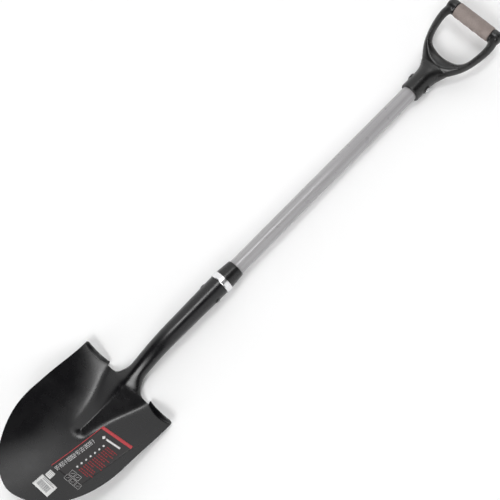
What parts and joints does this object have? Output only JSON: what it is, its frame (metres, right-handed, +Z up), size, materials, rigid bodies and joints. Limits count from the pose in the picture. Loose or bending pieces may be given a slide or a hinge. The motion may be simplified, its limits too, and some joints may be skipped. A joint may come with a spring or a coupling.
{
  "type": "round point shovel",
  "caption": "Round point digging shovel with a dished steel blade, turned steps, fibreglass shaft and a D-handle with a soft grip.",
  "frame": {"origin": "centre of the footprint, on the ground that the shovel lies on", "axes": "the shovel lies on its back: +Y runs along the shaft from the blade's point to the D-handle, +Z is up and is the hollow front side of the blade, +X is to the right"},
  "size_m": [0.2146, 1.1926, 0.0812],
  "materials": {
    "black_steel": "semi-gloss black powder coat",
    "grey_fibreglass": "satin grey pultruded fibreglass",
    "core_wood": "plain sawn dowel, hidden",
    "black_plastic": "satin moulded black plastic",
    "bright_ring": "polished",
    "black_rivet": "black",
    "steel_rivet": "satin",
    "taupe_grip": "matt, finely textured",
    "label_print": "satin printed film",
    "sticker_paper": "matt white"
  },
  "bodies": {
    "root": {"blade": "black_steel", "shaft": "grey_fibreglass", "lower_core": "core_wood", "upper_core": "core_wood", "socket_sleeve": "black_plastic", "clamp_ring": "bright_ring", "socket_rivet": "black_rivet", "handle_frame": "black_plastic", "grip_sleeve": "taupe_grip", "handle_rivet": "steel_rivet", "handle_rivet_washers": "steel_rivet", "printed_label": "label_print", "barcode_sticker": "sticker_paper", "square_sticker": "sticker_paper"}
  },
  "joints": []
}
